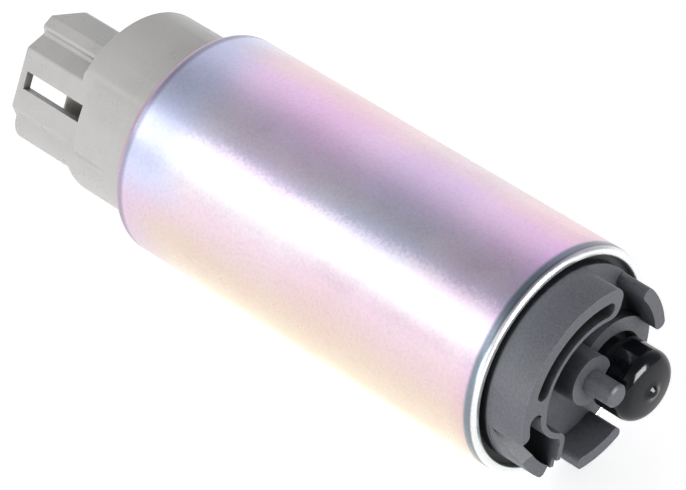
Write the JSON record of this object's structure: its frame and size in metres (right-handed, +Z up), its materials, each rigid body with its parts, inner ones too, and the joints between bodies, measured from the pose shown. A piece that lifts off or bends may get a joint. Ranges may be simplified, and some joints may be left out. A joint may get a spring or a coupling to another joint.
{
  "type": "fuel pump",
  "caption": "Electric in-tank fuel pump: round plated steel can, dark inlet cover with a capped nipple and peg, grey outlet cover with a beaded nipple and keyed electrical socket.",
  "frame": {"origin": "on the can's axis, midway between its two rolled ends", "axes": "+X along the can's axis towards the inlet cover, -X towards the outlet nipple and the electrical socket, +Z up with the pump lying as pictured"},
  "size_m": [0.1163, 0.038, 0.038],
  "materials": {
    "can_steel": "zinc-chromate plating, satin, with pink, lilac, blue and yellow tints",
    "dark_plastic": "dark grey moulded, satin",
    "grey_plastic": "light warm grey moulded, satin",
    "cap_plastic": "near black, soft, glossy",
    "cast_aluminium": "die cast, machined faces",
    "phenolic": "dark brown moulded",
    "sintered_bronze": "sintered, porous",
    "hard_steel": "ground",
    "soft_steel": "bright",
    "ferrite": "sintered, dull",
    "core_steel": "stacked sheets",
    "insulator_plastic": "natural moulded",
    "copper": "enamelled or bare copper",
    "carbon": "pressed carbon",
    "spring_steel": "drawn wire",
    "black_rubber": "smooth",
    "tinned_brass": "tin plated",
    "valve_plastic": "natural moulded"
  },
  "bodies": {
    "pump": {"housing_can": "can_steel", "inlet_cover": "dark_plastic", "outlet_cover": "grey_plastic", "pump_casing": "cast_aluminium", "front_bearing": "sintered_bronze", "rear_bearing": "sintered_bronze", "thrust_button": "hard_steel", "flux_ring": "soft_steel", "magnet_upper": "ferrite", "magnet_lower": "ferrite", "magnet_clip_left": "soft_steel", "magnet_clip_right": "soft_steel", "brush_holder": "insulator_plastic", "brush_spring_right": "spring_steel", "brush_spring_left": "spring_steel", "outlet_seal": "black_rubber", "terminal_low": "tinned_brass", "terminal_high": "tinned_brass", "choke_low_rod": "soft_steel", "choke_low_coil": "copper", "choke_high_rod": "soft_steel", "choke_high_coil": "copper", "check_valve_spring": "spring_steel", "check_valve_cage": "valve_plastic", "relief_spring": "spring_steel", "relief_retainer": "valve_plastic"},
    "rotor": {"shaft": "hard_steel", "rotor_core": "core_steel", "front_insulator": "insulator_plastic", "rear_insulator": "insulator_plastic", "windings": "copper", "commutator_hub": "phenolic", "commutator_segments": "copper", "impeller": "phenolic"},
    "right_brush": {"brush_right": "carbon"},
    "left_brush": {"brush_left": "carbon"},
    "check_valve": {"check_valve_poppet": "valve_plastic"},
    "relief_valve": {"relief_ball": "hard_steel"},
    "cap": {"inlet_cap": "cap_plastic"}
  },
  "joints": [
    {"name": "rotor_spin", "type": "hinge", "parent": "pump", "child": "rotor", "pos_m": [0, 0, 0], "axis": [1, 0, 0], "continuous": true},
    {"name": "right_brush_slide", "type": "slide", "parent": "pump", "child": "right_brush", "axis": [1, 0, 0], "range_m": [-0.003, 0], "stiffness_N_per_m": 100, "springref_m": 0.005, "deforming": ["brush_spring_right"]},
    {"name": "left_brush_slide", "type": "slide", "parent": "pump", "child": "left_brush", "axis": [1, 0, 0], "range_m": [-0.003, 0], "stiffness_N_per_m": 100, "springref_m": 0.005, "deforming": ["brush_spring_left"]},
    {"name": "check_valve_lift", "type": "slide", "parent": "pump", "child": "check_valve", "axis": [-1, 0, 0], "range_m": [0, 0.0018], "stiffness_N_per_m": 60, "springref_m": -0.003, "deforming": ["check_valve_spring"]},
    {"name": "relief_valve_lift", "type": "slide", "parent": "pump", "child": "relief_valve", "axis": [-1, 0, 0], "range_m": [0, 0.0008], "stiffness_N_per_m": 400, "springref_m": -0.002, "deforming": ["relief_spring"]},
    {"name": "cap_pull", "type": "slide", "parent": "pump", "child": "cap", "axis": [1, 0, 0], "range_m": [0, 0.02]}
  ]
}
